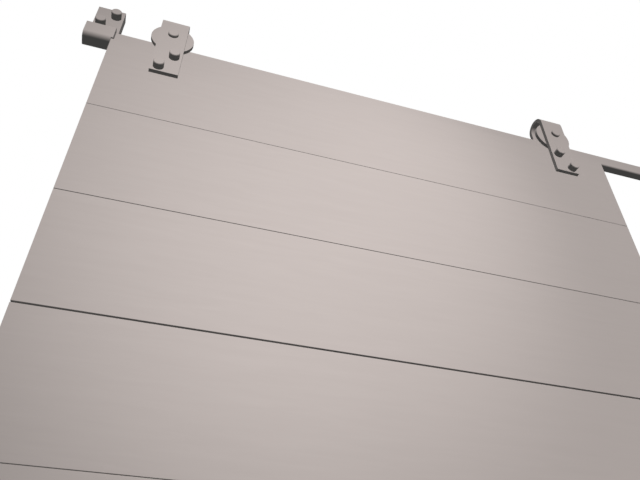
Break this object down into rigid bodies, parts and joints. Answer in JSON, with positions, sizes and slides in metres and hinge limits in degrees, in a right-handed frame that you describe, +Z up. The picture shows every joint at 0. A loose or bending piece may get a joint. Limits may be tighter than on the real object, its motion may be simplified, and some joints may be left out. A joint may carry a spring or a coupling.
{
  "type": "sliding barn door",
  "caption": "Sliding barn door: a leaf of horizontal planks on two bent-strap roller hangers, running on a wall rail between end brackets with a floor guide.",
  "frame": {"origin": "on the wall plane, midway between the two wall bolts of the left end plate", "axes": "+X along the rail to the right as seen from the room, +Y into the wall, +Z up"},
  "size_m": [1.98, 0.115, 2.1885],
  "materials": {
    "painted_timber": "matt paint over sawn boards",
    "coated_steel": "matt powder coat",
    "bearing_steel": "ground",
    "buffer_rubber": "matt"
  },
  "bodies": {
    "track": {"rail": "coated_steel", "left_wall_plate": "coated_steel", "right_wall_plate": "coated_steel", "left_end_collar": "coated_steel", "right_end_collar": "coated_steel", "left_wall_bolts": "coated_steel", "right_wall_bolts": "coated_steel", "collar_screws": "coated_steel", "rail_end_screws": "coated_steel", "rail_standoffs": "coated_steel", "rail_studs": "coated_steel", "left_buffer": "buffer_rubber", "right_buffer": "buffer_rubber", "floor_guide": "coated_steel", "floor_guide_screws": "coated_steel"},
    "door": {"plank_01": "painted_timber", "plank_02": "painted_timber", "plank_03": "painted_timber", "plank_04": "painted_timber", "plank_05": "painted_timber", "plank_06": "painted_timber", "plank_07": "painted_timber", "plank_08": "painted_timber", "plank_09": "painted_timber", "plank_10": "painted_timber", "plank_11": "painted_timber", "left_batten": "painted_timber", "middle_batten": "painted_timber", "right_batten": "painted_timber", "batten_screws": "coated_steel", "left_hanger_strap": "coated_steel", "right_hanger_strap": "coated_steel", "left_hanger_bolts": "coated_steel", "right_hanger_bolts": "coated_steel", "left_sleeve_nuts": "coated_steel", "right_sleeve_nuts": "coated_steel", "left_axle_bolt": "coated_steel", "right_axle_bolt": "coated_steel", "left_axle_nut": "coated_steel", "right_axle_nut": "coated_steel", "left_axle_spacers": "coated_steel", "right_axle_spacers": "coated_steel", "left_bearing_inner_rings": "bearing_steel", "right_bearing_inner_rings": "bearing_steel"},
    "left_wheel": {"left_wheel": "coated_steel", "left_bearing_outer_rings": "bearing_steel", "left_bearing_balls": "bearing_steel"},
    "right_wheel": {"right_wheel": "coated_steel", "right_bearing_outer_rings": "bearing_steel", "right_bearing_balls": "bearing_steel"}
  },
  "joints": [
    {"name": "door_slide", "type": "slide", "parent": "track", "child": "door", "axis": [1, 0, 0], "range_m": [0, 0.893]},
    {"name": "left_wheel_spin", "type": "hinge", "parent": "door", "child": "left_wheel", "pos_m": [0.121, -0.031, -0.04045], "axis": [0, 1, 0], "continuous": true},
    {"name": "right_wheel_spin", "type": "hinge", "parent": "door", "child": "right_wheel", "pos_m": [0.914, -0.031, -0.04045], "axis": [0, 1, 0], "continuous": true}
  ],
  "couplings": [
    {"joint": "left_wheel_spin", "follows": "door_slide", "rad_per_m": 76.923},
    {"joint": "right_wheel_spin", "follows": "door_slide", "rad_per_m": 76.923}
  ]
}
